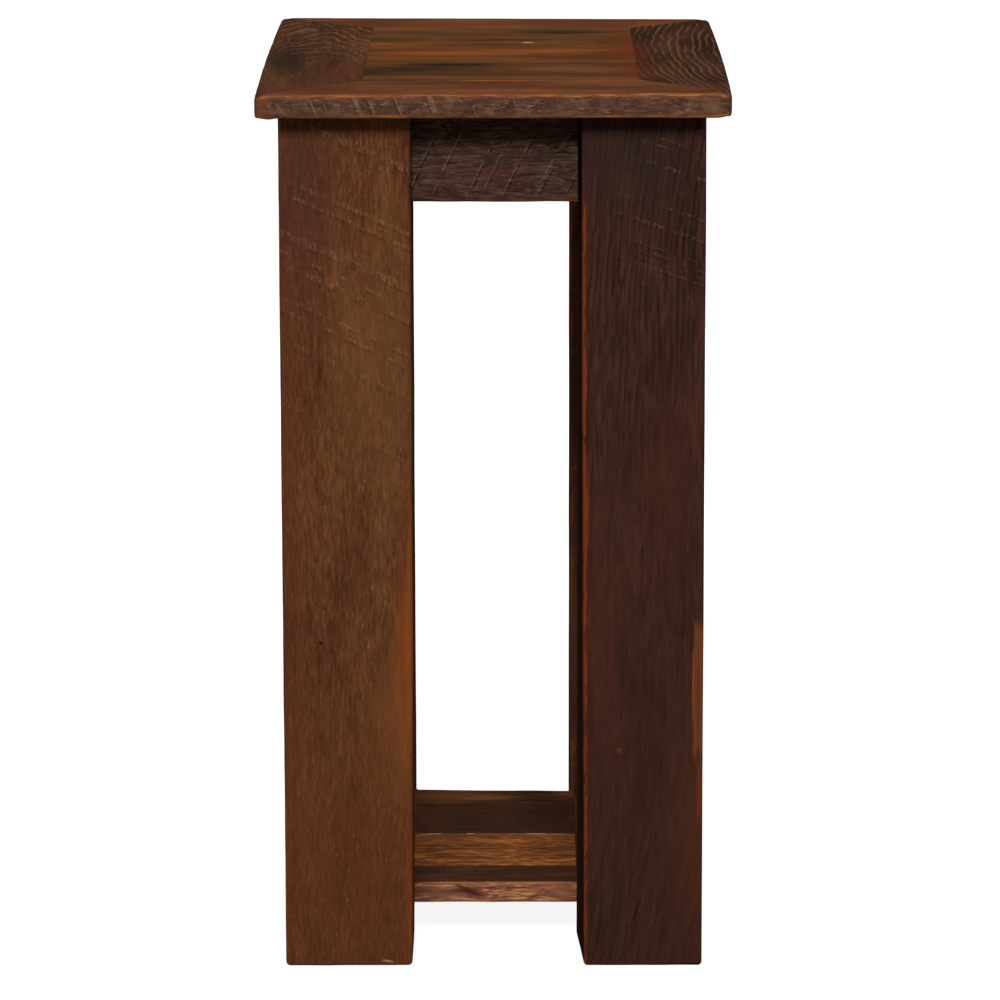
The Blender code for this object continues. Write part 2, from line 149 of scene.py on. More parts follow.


# %% [markdown]
# ## Tone, growth rings and flecks
#
# Three layers make most of the look. Fine fibres and slow stains set the tone between a shade, a body and a
# glow. Growth rings are drawn as tubes round the heart of the tree. Where a tilted tube meets the face of a
# board, it shows as the pointed arches of plain-sawn wood. Short pale flecks are torn fibres that the finish
# left dry; on the right front leg they are painted glints. A noise stays mostly near 0.5, so each layer has
# a pair of values between which it sets in.

# %% Tone
def tone_of(tree, grain, look):
    """Streaks of three widths, each with its own gain, round a middle tone of 0.5."""
    layers = [(*look["fibre"], 4.0), (*look["stain"], look["stain_detail"]), (*look["hair"], 3.0)]
    tone = 0.5 - sum(gain for length, width, gain, detail in layers) / 2
    for length, width, gain, detail in layers:
        lines = streaks(tree, grain, length, width, detail)
        tone = add(tree, "Math", {0: lines, 1: gain, 2: tone}, operation="MULTIPLY_ADD")
    return lines, tone


def tinted(tree, tone, look):
    shade, body, glow = (colour(tint) for tint in look["tones"])
    lower = add(tree, "MapRange", {"Value": tone, "From Min": 0.0, "From Max": 0.5})
    upper = add(tree, "MapRange", {"Value": tone, "From Min": 0.5, "From Max": 1.0})
    # A Mix node has its colours on sockets 6 and 7, and gives the mixed colour on output 2.
    base = add(tree, "Mix", {0: lower, 6: shade, 7: body}, 2, data_type="RGBA")
    return add(tree, "Mix", {0: upper, 6: base, 7: glow}, 2, data_type="RGBA")


# %% Growth rings, flecks and pores
RING_STOP = 0.96
RING_KEPT = (0.34, 0.60)
FLECK_STEP = (0.74, 0.82)
PORE_STEP = (0.26, 0.18)


def growth_rings(tree, grain, look):
    spacing, across, through, tilt, edge = look["rings"]
    heart = {"Location": (0.0, across * MM, through * MM), "Rotation": (0.0, math.radians(tilt), 0.0)}
    shifted = add(tree, "Mapping", {"Vector": grain, **heart})
    # A ring of the wave texture is 2 pi / 20 units wide at a scale of 1.
    scale = 2 * math.pi / 20 / (spacing * MM)
    wave = add(
        tree, "TexWave", {"Vector": shifted, "Scale": scale, "Distortion": 0.0}, "Fac",
        wave_type="RINGS", rings_direction="X", wave_profile="SAW",
    )
    line = band(tree, wave, edge, RING_STOP)
    kept = band(tree, streaks(tree, grain, *look["ring_break"]), *RING_KEPT)
    return add(tree, "Math", {0: line, 1: kept}, operation="MULTIPLY")


def flecks_and_pores(tree, grain, look):
    length, width, share = look["flecks"][:3]
    spots = streaks(tree, grain, length, width, 1.0)
    fleck = band(tree, spots, *(step - share for step in FLECK_STEP))
    pore = band(tree, spots, *(step + share for step in PORE_STEP))
    return fleck, pore


# %% [markdown]
# ## Saw marks, cracks and worn edges
#
# A circular saw leaves arcs at uneven distances, all struck from the same centre, which lies outside the
# board. The distance from that centre feeds a noise of one dimension: its peaks are pale rows of torn fibres,
# and a step further on lies the dark groove that the tooth cut. A drying crack is the line where a stretched
# noise passes through its middle value. Edges that hands and brooms have rubbed show the bright wood under
# the patina: the mesh carries how near a point lies to a worn edge, and the shader frays that band along the
# fibres. Single marks, such as a nail hole, a knot or a stain, are soft ellipsoids at a place on the board.

# %% Single marks
def mark(tree, place, centre, radii, ragged=0.6, soft=0.5, turn=0.0, fine=2.2, boxy=False):
    """1 inside an ellipsoid or a box round a point and 0 outside; soft is the share that fades."""
    size = tuple(radius * MM for radius in radii)
    spot = {"Vector": place, "Location": centre, "Rotation": (0.0, math.radians(turn), 0.0), "Scale": size}
    fitted = add(tree, "Mapping", spot, vector_type="TEXTURE")
    if boxy:
        sides = add(tree, "VectorMath", {0: fitted}, operation="ABSOLUTE")
        sides = add(tree, "SeparateXYZ", {0: sides}).node.outputs
        reach = add(tree, "Math", {0: sides[0], 1: sides[1]}, operation="MAXIMUM")
        reach = add(tree, "Math", {0: reach, 1: sides[2]}, operation="MAXIMUM")
    else:
        reach = add(tree, "VectorMath", {0: fitted}, "Value", operation="LENGTH")
    rim = add(tree, "TexNoise", {"Vector": fitted, "Scale": fine, "Detail": 3.0})
    level = add(tree, "Math", {0: rim, 1: ragged, 2: reach}, operation="MULTIPLY_ADD")
    return band(tree, level, 1.0 + ragged / 2, 1.0 + ragged / 2 - soft)


# %% Saw strokes
SAW_STEP = (0.64, 0.76)
SAW_KEPT = (0.38, 0.60)
RIDGE_TICKS = (0.46, 0.62)
GROOVE_TICKS = (0.58, 0.42)


def saw_strokes(tree, place, grain, look):
    """The pale ridges of the saw and, a step further on, its dark grooves."""
    reach = add(tree, "VectorMath", {0: place, 1: look["saw_centre"]}, "Value", operation="DISTANCE")
    spacing = look["saw_spacing"] * MM
    share = look["saw_share"]
    # A stroke is a row of torn fibres, so it breaks into ticks along the grain and fades in places.
    torn = streaks(tree, grain, *look["saw_ticks"])
    kept = band(tree, streaks(tree, grain, *look["saw_patch"]), *SAW_KEPT)
    zone = mark(tree, place, *look["saw_zone"], ragged=0.5, soft=0.7)
    there = add(tree, "Math", {0: kept, 1: zone}, operation="MULTIPLY")
    strokes = []
    for aside, ticks in ((0.0, RIDGE_TICKS), (look["saw_step"] * MM, GROOVE_TICKS)):
        run = add(tree, "Math", {0: reach, 1: 1 / spacing, 2: aside / spacing}, operation="MULTIPLY_ADD")
        pulse = add(tree, "TexNoise", {"W": run, "Scale": 1.0, "Detail": 1.5}, noise_dimensions="1D")
        stroke = band(tree, pulse, *(step - share for step in SAW_STEP))
        broken = band(tree, torn, *ticks)
        broken = add(tree, "Mix", {0: look["saw_broken"], 2: 1.0, 3: broken}, data_type="FLOAT")
        stroke = add(tree, "Math", {0: stroke, 1: broken}, operation="MULTIPLY")
        strokes.append(add(tree, "Math", {0: stroke, 1: there}, operation="MULTIPLY"))
    return strokes


# %% Cracks and worn edges
CRACK_KEPT = (0.46, 0.60)
FRAY = (26.0, 2.2)
FRAY_GAIN = 2.6
FRAY_BASE = -0.22
RIM_STEP = (0.22, 0.70)
WORN_STEP = (0.66, 0.95)


def cracks(tree, grain, look):
    length, width, thickness = look["cracks"][:3]
    field = streaks(tree, grain, length, width, 0.5)
    offset = add(tree, "Math", {0: field, 1: 0.5}, operation="SUBTRACT")
    size = add(tree, "Math", {0: offset}, operation="ABSOLUTE")
    line = band(tree, size, thickness, 0.0)
    opened = band(tree, streaks(tree, grain, length * 0.8, width * 2.5, 1.0), *CRACK_KEPT)
    return add(tree, "Math", {0: line, 1: opened}, operation="MULTIPLY")


def worn_edges(tree, grain):
    near = add(tree, "Attribute", out="Fac", attribute_name="wear")
    fray = streaks(tree, grain, *FRAY, 3.0)
    fray = add(tree, "Math", {0: fray, 1: FRAY_GAIN, 2: FRAY_BASE}, operation="MULTIPLY_ADD")
    level = add(tree, "Math", {0: near, 1: fray}, operation="MULTIPLY")
    return band(tree, level, *RIM_STEP), band(tree, level, *WORN_STEP)


# %% [markdown]
# ## A timber finish from its layers
#
# The finish of a board is reclaimed wood under a dead-flat oil: no gloss, and pores that stay open.
# Each layer is laid over the one before with a Mix node, from the tone up to the worn edges and the cracks.
# The same layers give the relief, so a dark crack is also a groove, and the tone sets the roughness.
# In the table of looks, an entry such as fibre starts with a length and a width in millimetres, along and
# across the grain, and goes on with a gain, a colour or a strength.

# %% The plain look
PLAIN = dict(
    grain="X", cut_from=(0, 0, 0),
    sway=(120, 40, 12), bow=(0, 0, 2), fibre=(40, 2.2, 1.4), stain=(110, 22, 1), stain_detail=3,
    hair=(30, 1.2, 0.3), flecks=(6, 1, 0.05, "8a5c3c", 0.5),
    rings=(4.5, 60, 70, 2, 0.5), ring_colour="2a1a13", ring_strength=0.25, ring_break=(70, 9),
    ring_zone=None,
    saw_centre=(-0.31, -0.21, -0.16), saw_spacing=6, saw_step=1.2, saw_share=0.06, saw_ticks=(4.5, 1),
    saw_light="8a5c3c", saw_dark="1c110c", saw_strength=(0.0, 0.0), saw_broken=0.8, saw_patch=(45, 20),
    saw_zone=((0, 0, 0.32), (600, 600, 600)),
    cracks=(200, 5, 0.010, "1c110c", 0.6),
    rim="5c3018", rim_strength=0.4, worn="86461d", worn_strength=0.75,
    relief=0.5, roughness=(0.85, 0.7),
    marks=(),
)

# %% Lay the layers over each other
RELIEF_DEPTH = 0.6 * MM
RING_RELIEF = 0.2
WOOD_IOR = 1.45


def timber(name, base=PLAIN, **changes):
    """A finish that has the looks of its base, apart from the changes."""
    look = {**PLAIN, **base, **changes}
    material = bpy.data.materials.new(name)
    material.use_nodes = True
    tree = material.node_tree
    shader = tree.nodes["Principled BSDF"]
    place, grain = grain_space(tree, look)
    hair, tone = tone_of(tree, grain, look)
    ring = growth_rings(tree, grain, look)
    if look["ring_zone"]:
        zone = mark(tree, place, *look["ring_zone"], ragged=0.5, soft=0.9)
        ring = add(tree, "Math", {0: ring, 1: zone}, operation="MULTIPLY")
    fleck, pore = flecks_and_pores(tree, grain, look)
    ridge, groove = saw_strokes(tree, place, grain, look)
    crack = cracks(tree, grain, look)
    rim, worn = worn_edges(tree, grain)
    fleck_tint, fleck_strength = look["flecks"][3:]
    crack_tint, crack_strength = look["cracks"][3:]
    light, dark = look["saw_strength"]

    layers = [
        (look["ring_colour"], ring, look["ring_strength"]),
        (fleck_tint, fleck, fleck_strength),
        (look["tones"][0], pore, fleck_strength),
    ]
    for centre, radii, tint, strength, shape in look["marks"]:
        layers.append((tint, mark(tree, place, centre, radii, **shape), strength))
    layers += [
        (look["saw_dark"], groove, dark),
        (look["saw_light"], ridge, light),
        (look["rim"], rim, look["rim_strength"]),
        (look["worn"], worn, look["worn_strength"]),
        (crack_tint, crack, crack_strength),
    ]
    surface = tinted(tree, tone, look)
    for tint, mask, strength in layers:
        share = add(tree, "Math", {0: mask, 1: strength}, operation="MULTIPLY")
        surface = add(tree, "Mix", {0: share, 6: surface, 7: colour(tint)}, 2, data_type="RGBA")

    # Relief in shares of its depth: fibres and ridges stand up, grooves and cracks go in.
    height = hair
    for layer, share in ((ring, RING_RELIEF), (ridge, light), (groove, -dark), (crack, -1.0)):
        height = add(tree, "Math", {0: layer, 1: share, 2: height}, operation="MULTIPLY_ADD")
    bump = add(tree, "Bump", {"Height": height, "Strength": look["relief"], "Distance": RELIEF_DEPTH})
    rough, smooth = look["roughness"]
    dull = add(tree, "MapRange", {"Value": tone, "To Min": rough, "To Max": smooth})
    tree.links.new(surface, shader.inputs["Base Color"])
    tree.links.new(dull, shader.inputs["Roughness"])
    tree.links.new(bump, shader.inputs["Normal"])
    shader.inputs["IOR"].default_value = WOOD_IOR
    # Dry old wood under a dead-flat oil: a brighter level would veil the dark boards at grazing angles.
    shader.inputs["Specular IOR Level"].default_value = 0.0
    return material


# %% [markdown]
# ## The timbers of the frame
#
# The left front leg is a mid brown beam with plain saw arcs. The right one is almost black with a purple cast
# and shows bright orange where its edge is rubbed. The aprons are rough boards, still as the saw left them.
# A mark is a place in metres, three radii in millimetres, a colour, a strength and the shape of its rim.

# %% Front leg finishes
WIDE = {"ragged": 0.8, "soft": 0.9}
STAINED = {"ragged": 1.2, "soft": 0.8}
FRAYED = {"ragged": 1.2, "soft": 1, "fine": 4}
TORN = {"boxy": True, "ragged": 0.5, "soft": 0.3, "fine": 4}
finishes = {}
# Warm and even, with rows of pale saw ticks above and an orange edge below.
finishes["front_left_leg"] = timber(
    "oiled barn oak, circular-sawn, mid brown",
    grain="Z", cut_from=(0.31, 0.02, 0.05), tones=("3d2316", "58341f", "70452a"),
    fibre=(11, 2, 2), stain=(100, 24, 1), flecks=(7, 1.1, 0.035, "9a6e4c", 0.6),
    rings=(7, 260, -100, 0.6, 0.5), ring_strength=0.08,
    saw_centre=(-0.78, -0.212, -0.98), saw_spacing=7, saw_step=2, saw_share=0.09, saw_ticks=(6, 1.5),
    saw_light="8a6044", saw_dark="331c12", saw_strength=(0.5, 0.45), saw_broken=0.9, saw_patch=(16, 12),
    saw_zone=((-0.09, -0.212, 0.52), (90, 200, 230)),
    cracks=(240, 5, 0.006, "2a1710", 0.5),
    rim="6e351b", rim_strength=0.5, worn="84461e", worn_strength=0.55,
    marks=(
        ((-0.1494, -0.212, 0.35), (34, 120, 420), "5c2d1e", 0.4, WIDE),
        ((-0.137, -0.212, 0.565), (56, 120, 140), "3f261f", 0.5, WIDE),
        ((-0.080, -0.212, 0.44), (50, 120, 150), "70482b", 0.4, WIDE),
        ((-0.104, -0.212, 0.06), (120, 120, 200), "5e3019", 0.45, WIDE),
        ((-0.0690, -0.2119, 0.178), (34, 30, 78), "6f4123", 0.6, WIDE),
        ((-0.0630, -0.2119, 0.225), (13, 30, 112), "84471e", 0.55, FRAYED),
        ((-0.0590, -0.2119, 0.050), (9, 20, 85), "793d1d", 0.55, FRAYED),
        ((-0.1230, -0.2119, 0.2397), (1.6, 9, 2.2), "24120c", 0.9, {}),
        ((-0.0765, -0.2119, 0.0040), (5.5, 6, 1.2), "a98363", 0.8, {"ragged": 1.2, "turn": 10}),
    ),
)
# Dark with close upright lines and orange rubbed edges; its pale grey specks and the pale ticks near the head
# are painted glints on torn fibres.
finishes["front_right_leg"] = timber(
    "smoked barn oak, weathered, near black",
    grain="Z", cut_from=(1.37, 0.33, 0.71), tones=("261915", "39231c", "4a2c22"),
    # The pale grey flecks are painted glints on the fibres.
    bow=(1.70, 0.7, 3), fibre=(26, 2.8, 2.2), stain=(80, 18, 1), flecks=(3, 1, 0, "7d685e", 0.3),
    rings=(3.6, 230, 30, 0.8, 0.55), ring_colour="1b1110", ring_strength=0.72, ring_break=(18, 3),
    ring_zone=((0.105, -0.212, 0.50), (150, 300, 270)),
    # The pale saw ticks in the zone near the head are painted glints of light on rows of torn fibres.
    saw_centre=(-0.20, -0.212, -0.40), saw_spacing=4.6, saw_step=1.4, saw_share=0.08,
    saw_ticks=(2.4, 1.2), saw_light="7c6a5f", saw_dark="140c0b", saw_strength=(0.42, 0.5), saw_broken=1,
    saw_patch=(9, 8), saw_zone=((0.125, -0.212, 0.55), (48, 200, 80)),
    cracks=(240, 5, 0.012, "170d0b", 0.6),
    rim="54230f", rim_strength=0.7, worn="7e3d1f", worn_strength=0.7,
    marks=(
        ((0.092, -0.212, 0.585), (75, 120, 75), "2b201f", 0.5, WIDE),
        ((0.112, -0.212, 0.13), (100, 120, 200), "38221b", 0.5, WIDE),
        ((0.122, -0.212, 0.35), (38, 120, 125), "47261c", 0.5, WIDE),
        ((0.078, -0.212, 0.24), (22, 80, 150), "4a271b", 0.5, WIDE),
        ((0.146, -0.212, 0.085), (26, 80, 150), "4b281b", 0.65, WIDE),
        ((0.0669, -0.2119, 0.335), (1.5, 8, 34), "7c3322", 0.65, {"ragged": 0.8}),
        ((0.1480, -0.2119, 0.130), (3.4, 8, 30), "6e2f14", 0.6, {"boxy": True}),
        ((0.1496, -0.2119, 0.2055), (8.2, 12, 56), "6f3c1d", 0.8, TORN),
        ((0.1462, -0.2119, 0.195), (2, 6, 58), "4f2816", 0.6, FRAYED),
        ((0.1500, -0.2119, 0.215), (1.6, 12, 60), "4f2a18", 0.6, FRAYED),
        ((0.1425, -0.2119, 0.208), (0.8, 6, 30), "91441a", 0.7, {"ragged": 1}),
        ((0.0897, -0.2119, 0.1605), (3.5, 12, 3), "6d3a1c", 0.5, {"soft": 0.9}),
    ),
)

# %% Back leg finishes
# Dull, with wide saw arcs.
finishes["back_left_leg"] = timber(
    "oiled barn oak, circular-sawn, dull brown",
    grain="Z", cut_from=(2.11, 0.57, 0.13), tones=("33201a", "4a2d1f", "5f3e2a"),
    flecks=(6, 1, 0.06, "7a5238", 0.5),
    rings=(5.5, -120, 30, 0.9, 0.5),
    saw_centre=(-0.30, 0.9, 0.1), saw_spacing=7, saw_share=0.10, saw_strength=(0.5, 0.35),
)
# Quiet and warm, with few worn edges.
finishes["back_right_leg"] = timber(
    "oiled barn oak, hewn, warm brown",
    grain="Z", cut_from=(3.53, 0.21, 0.42), tones=("301e17", "452b1f", "573a2a"),
    flecks=(6, 1, 0.06, "80563a", 0.5),
    rings=(5, -110, 150, 0.7, 0.5),
    saw_centre=(0.42, 0.9, -0.1), saw_spacing=8, saw_share=0.08, saw_strength=(0.5, 0.35),
    rim_strength=0.25, worn_strength=0.45,
)

# %% Apron finishes
APRON_LOOK = dict(
    sway=(60, 25, 10), fibre=(14, 1.8, 2.3), stain=(40, 12, 1.2), flecks=(6, 1.1, 0.09, "6a5146", 0.65),
    ring_strength=0.1,
    saw_spacing=4.4, saw_step=1.3, saw_share=0.075, saw_ticks=(5, 1.5), saw_strength=(0.6, 0.95),
    saw_broken=0.55, saw_patch=(10, 5),
    cracks=(90, 5, 0.014, "150d0a", 0.8),
    rim_strength=0.3, worn_strength=0.3,
    relief=1,
)
# Slanting strokes, pale and nearly black, round a reddish middle.
finishes["front_apron"] = timber(
    "rough-sawn barn oak, grey brown", APRON_LOOK,
    cut_from=(0.77, 0.15, 0.63), tones=("261914", "3d2a23", "5a4338"),
    saw_centre=(0.42, -0.199, 0.37), saw_light="7a6155", saw_dark="150d0a",
    saw_zone=((0, -0.199, 0.582), (300, 200, 32)),
    marks=(((-0.006, -0.199, 0.573), (46, 20, 13), "523023", 0.5, FRAYED),),
)
# The same strokes on a warmer brown.
finishes["back_apron"] = timber(
    "rough-sawn barn oak, umber", APRON_LOOK,
    cut_from=(1.91, 0.44, 0.18), tones=("2a1b15", "4a3025", "65493a"),
    saw_centre=(-0.40, 0.199, 0.2),
)
# Lighter, like the legs beside it.
finishes["left_apron"] = timber(
    "rough-sawn barn oak, tobacco brown", APRON_LOOK,
    grain="Y", cut_from=(2.63, 0.37, 0.55), tones=("301e14", "523421", "6f4b31"),
    saw_centre=(-0.136, -0.45, 0.2),
)
# Darker, like the legs beside it.
finishes["right_apron"] = timber(
    "rough-sawn barn oak, dark umber", APRON_LOOK,
    grain="Y", cut_from=(3.17, 0.62, 0.29), tones=("261813", "432a20", "5e4234"),
    saw_centre=(0.136, 0.48, 0.2),
)
print("finishes so far:", len(finishes))

# %% [markdown]
# ## The timbers of the top and the shelf
#
# The top's border shows plain-sawn figure on its two long sides, and warm, quiet boards front and back.
# The boards inside it come from old flooring: long dark stains lie between orange wood.
# On the shelf, two dark boards alternate with brighter ones, and the front board's edge was sawn fresh.

# %% Border finishes
TOP_LOOK = dict(
    sway=(130, 45, 26), fibre=(70, 14, 0.9), stain=(150, 36, 1.7), stain_detail=0.6,
    hair=(45, 1.5, 0.9),
    ring_strength=0.12,
    cracks=(240, 9, 0.008, "21140d", 0.4),
    rim="754527", rim_strength=0.55, worn="925e3d",
    relief=0.3,
)
# Pale arches of grain at the back, and a green-black stain along the outer side.
finishes["top_left_border"] = timber(
    "plain-sawn barn oak, grey brown", TOP_LOOK,
    grain="Y", cut_from=(0.05, 0, 0), tones=("2f221a", "4c3021", "64402a"),
    sway=(110, 40, 18), fibre=(45, 4.5, 1.3), stain=(120, 28, 1.1),
    rings=(4.4, -130, -653, 10, 0.5), ring_colour="8a6648", ring_strength=0.52, ring_break=(30, 14),
    ring_zone=((-0.125, 0.13, 0.635), (110, 210, 60)),
    rim_strength=0.25,
    marks=(
        ((-0.150, -0.04, 0.635), (22, 130, 30), "2a241b", 0.75, WIDE),
        ((-0.105, -0.10, 0.635), (25, 60, 30), "5e2f1e", 0.5, WIDE),
        ((-0.138, -0.192, 0.635), (36, 40, 30), "573322", 0.65, WIDE),
    ),
)
# Close pale rings, bent like a bow, on the darkest wood of the top.
finishes["top_right_border"] = timber(
    "plain-sawn barn oak with wild figure, dark brown", TOP_LOOK,
    grain="Y", cut_from=(0.9, 0, 0), tones=("291b15", "3b251a", "4d3123"),
    sway=(40, 30, 9), bow=(0.93, 0.42, 2), stain=(120, 28, 1.2),
    rings=(5.6, 420, -560, 3, 0.5), ring_colour="7b5b45", ring_strength=0.55,
    rim_strength=0.35,
    marks=(
        ((0.138, -0.200, 0.635), (40, 44, 20), "573425", 0.8, WIDE),
        ((0.105, -0.010, 0.635), (17, 200, 30), "4e2819", 0.8, WIDE),
    ),
)
# Plain and reddish, with a bright broken streak along its inner edge, partly chips and partly a painted
# highlight on the joint.
finishes["top_front_border"] = timber(
    "oiled barn oak, reddish brown", TOP_LOOK,
    cut_from=(1.31, 0.27, 0.04), tones=("48291b", "5f3925", "7a4a2d"),
    marks=(
        ((-0.120, -0.196, 0.635), (44, 30, 10), "4f2b1d", 0.7, WIDE),
        ((0.122, -0.196, 0.635), (40, 30, 10), "553322", 0.55, WIDE),
        # The broken orange streak on the joint is partly chips and partly a painted highlight.
        ((0.006, -0.1525, 0.635), (38, 3, 6), "b8743e", 0.8, {"ragged": 1.8, "fine": 5}),
    ),
)
# Plain and lighter, but darker at its left end.
finishes["top_back_border"] = timber(
    "oiled barn oak, orange brown", TOP_LOOK,
    cut_from=(2.43, 0.52, 0.04), tones=("4c2c1d", "653c26", "824e2d"),
    marks=(((-0.096, 0.200, 0.635), (52, 34, 20), "54301f", 0.6, WIDE),),
)

# %% Field finishes
# Two long grey stains and a small painted glint on the joint.
finishes["top_back_field_board"] = timber(
    "old oak flooring, brown with grey stains", TOP_LOOK,
    cut_from=(0.44, 0.71, 0), tones=("33251b", "593a24", "77492a"),
    marks=(
        ((0.058, 0.135, 0.635), (56, 13, 30), "2b2620", 0.75, STAINED),
        ((0.104, 0.100, 0.635), (36, 70, 30), "632f1a", 0.7, WIDE),
        ((0.010, 0.088, 0.635), (60, 10, 30), "33261b", 0.65, STAINED),
        # A small pale spot on the joint with the middle board: a painted glint.
        ((0.0256, 0.0705, 0.635), (6, 3, 6), "c3b3a2", 0.8, {"ragged": 1, "fine": 4}),
    ),
)
# The brightest board of the top.
finishes["top_middle_field_board"] = timber(
    "old oak flooring, orange brown", TOP_LOOK,
    cut_from=(1.62, 0.83, 0), tones=("48301c", "673c22", "8c5128"),
    marks=(
        ((0.030, 0.048, 0.635), (110, 20, 30), "59361f", 0.55, WIDE),
        ((-0.045, 0.004, 0.635), (75, 18, 30), "8c4e24", 0.6, WIDE),
        ((0.104, 0.020, 0.635), (40, 80, 30), "683119", 0.72, WIDE),
    ),
)
# One long stain that is almost black.
finishes["top_front_field_board"] = timber(
    "old oak flooring, brown with green-black stains", TOP_LOOK,
    cut_from=(2.87, 0.12, 0), tones=("2d261b", "553722", "7a4a2a"),
    marks=(
        ((-0.029, -0.063, 0.635), (52, 12, 30), "1d1b16", 0.75, STAINED),
        ((-0.086, -0.1115, 0.635), (12, 10, 30), "232817", 0.7, {"ragged": 1, "soft": 0.8}),
        ((0.104, -0.100, 0.635), (36, 80, 30), "62301b", 0.7, WIDE),
    ),
)

# %% The edge of the top
# Grey, with slanting strokes and a bright rim where the edge is rubbed.
edge_finish = timber(
    "barn oak edge, circular-sawn, grey brown",
    cut_from=(1.83, 0.66, 0.35), tones=("35251d", "4f372a", "684d3c"),
    fibre=(9, 1.8, 1.8), stain=(14, 8, 2.2), flecks=(6, 1.2, 0.09, "866751", 0.68),
    saw_centre=(-0.55, -0.2285, 0.44), saw_spacing=5.5, saw_step=1.7, saw_share=0.05,
    saw_light="8a6b55", saw_dark="3a271e", saw_strength=(0.55, 0.65), saw_broken=0.35,
    saw_patch=(24, 9), saw_zone=((-0.06, -0.2285, 0.627), (160, 800, 60)),
    rim="6d3a22", rim_strength=0.5, worn="9e6338",
    relief=0.8,
    marks=(
        ((-0.166, -0.2285, 0.627), (20, 24, 24), "663a22", 0.75, WIDE),
        ((0.152, -0.2285, 0.626), (13, 20, 8), "6e523f", 0.6, WIDE),
    ),
)

# %% Shelf finishes
# The rim of small pale marks that are partly chips and partly painted glints.
CHIPS_AND_GLINTS = {"ragged": 2.2, "fine": 4}
SHELF_LOOK = dict(
    fibre=(60, 3, 1.3), stain=(80, 16, 1.2),
    cracks=(70, 9, 0.012, "180f0a", 0.6),
    rim_strength=0.3, worn_strength=0.4,
    relief=0.5,
)
# Dark and plain.
finishes["shelf_front_board"] = timber(
    "old oak flooring, olive brown", SHELF_LOOK,
    cut_from=(0.23, 0.05, 0.4), tones=("2a1c15", "3f271b", "513827"),
)
# Bright, with broad streaks, and pale chips along the joint that are partly painted glints.
finishes["shelf_second_board"] = timber(
    "old pine flooring, honey brown", SHELF_LOOK,
    cut_from=(1.45, 0.35, 0.4), tones=("402618", "653a1f", "9f6330"),
    sway=(60, 30, 8), fibre=(13, 3.6, 2.6),
    rings=(6, 60, -60, 3, 0.5), ring_colour="96602f", ring_strength=0.4,
    worn="a87a50", worn_strength=0.9,
    marks=(
        ((-0.024, -0.008, 0.0404), (52, 17, 10), "55301f", 0.5, WIDE),
        # Pale marks along the back joint: partly chips, partly painted glints.
        ((-0.045, 0.0045, 0.0404), (8, 1.7, 4), "b59a84", 0.85, CHIPS_AND_GLINTS),
        ((-0.0185, 0.0045, 0.0404), (4, 1.5, 4), "b59a84", 0.85, CHIPS_AND_GLINTS),
        ((0.030, 0.0045, 0.0404), (9, 1.7, 4), "b59a84", 0.85, CHIPS_AND_GLINTS),
    ),
)
# Almost black and smooth.
finishes["shelf_third_board"] = timber(
    "smoked oak flooring, near black", SHELF_LOOK,
    cut_from=(2.71, 0.65, 0.4), tones=("271911", "362318", "432b1e"),
    fibre=(60, 3, 0.6), stain=(80, 16, 0.8),
    marks=(
        ((-0.056, 0.045, 0.0404), (44, 70, 20), "43281b", 0.65, WIDE),
        ((0.040, 0.070, 0.0404), (34, 50, 20), "2a1b14", 0.6, WIDE),
    ),
)
# Light at the left and dark at the right.
finishes["shelf_back_board"] = timber(
    "old oak flooring, dark tan", SHELF_LOOK,
    cut_from=(3.33, 0.95, 0.4), tones=("2a1a12", "472b1a", "704728"),
    stain=(60, 12, 2.4),
    marks=(
        ((-0.038, 0.12, 0.04), (40, 60, 20), "6e4425", 0.45, WIDE),
        ((0.034, 0.12, 0.04), (34, 60, 20), "291a12", 0.6, WIDE),
    ),
)

# %% Rail and edge finishes
# Plain, and lighter than its partner.
finishes["shelf_left_rail"] = timber(
    "old oak flooring, umber", SHELF_LOOK,
    grain="Y", cut_from=(4.1, 0.3, 0.4), tones=("331f16", "4d2f20", "66432d"),
)
# Plain and dark.
finishes["shelf_right_rail"] = timber(
    "old oak flooring, dark umber", SHELF_LOOK,
    grain="Y", cut_from=(4.9, 0.7, 0.4), tones=("291a13", "3c261b", "523626"),
)
# Pink and cream streaks, with a dark slanting knot.
fresh_edge_finish = timber(
    "pine edge, fresh-sawn, pinkish brown",
    cut_from=(0.61, 0.85, 0.15), tones=("54302a", "88563f", "c88d5e"),
    sway=(50, 15, 9), fibre=(12, 1.6, 2.2), stain=(34, 3.4, 3), flecks=(8, 1.3, 0.06, "c79a78", 0.5),
    cracks=(45, 7, 0.012, "43211a", 0.7),
    rim="8a5238", worn="a5683f",
    relief=0.6,
    marks=(
        ((-0.045, -0.129, 0.032), (30, 20, 10), "714a3c", 0.75, WIDE),
        ((0.050, -0.129, 0.032), (22, 20, 10), "a06a4c", 0.55, WIDE),
        ((-0.019, -0.129, 0.033), (16, 20, 3), "4a211a", 0.8, {"soft": 0.8, "turn": 26}),
        ((-0.027, -0.129, 0.0375), (14, 20, 2), "58291d", 0.6, {"soft": 0.8, "turn": 22}),
    ),
)
print("finishes:", len(finishes) + 2)

# %% [markdown]
# ## Boards with worn edges
#
# A board starts as a cube that is stretched between two corners. Edges that are open to wear get a round,
# and edges inside a joint only a thin arris. Then each direction is cut into equal lengths of a few
# millimetres, so that the faces have points to move. A face that was sawn and then lived with is never flat:
# every point goes in a little, by a slow noise on the faces and by a livelier one near the worn edges.
# Points only move inwards, so no board grows into its neighbour.

# %% Shape a board
STEP = 2.3 * MM
TIGHT = 0.05 * MM
ARRIS = 0.3 * MM
SHARP = math.radians(60)
FACES = {"left": (0, -1), "right": (0, 1), "front": (1, -1), "back": (1, 1), "under": (2, -1), "over": (2, 1)}


def faces(*words):
    return {FACES[word] for word in words}


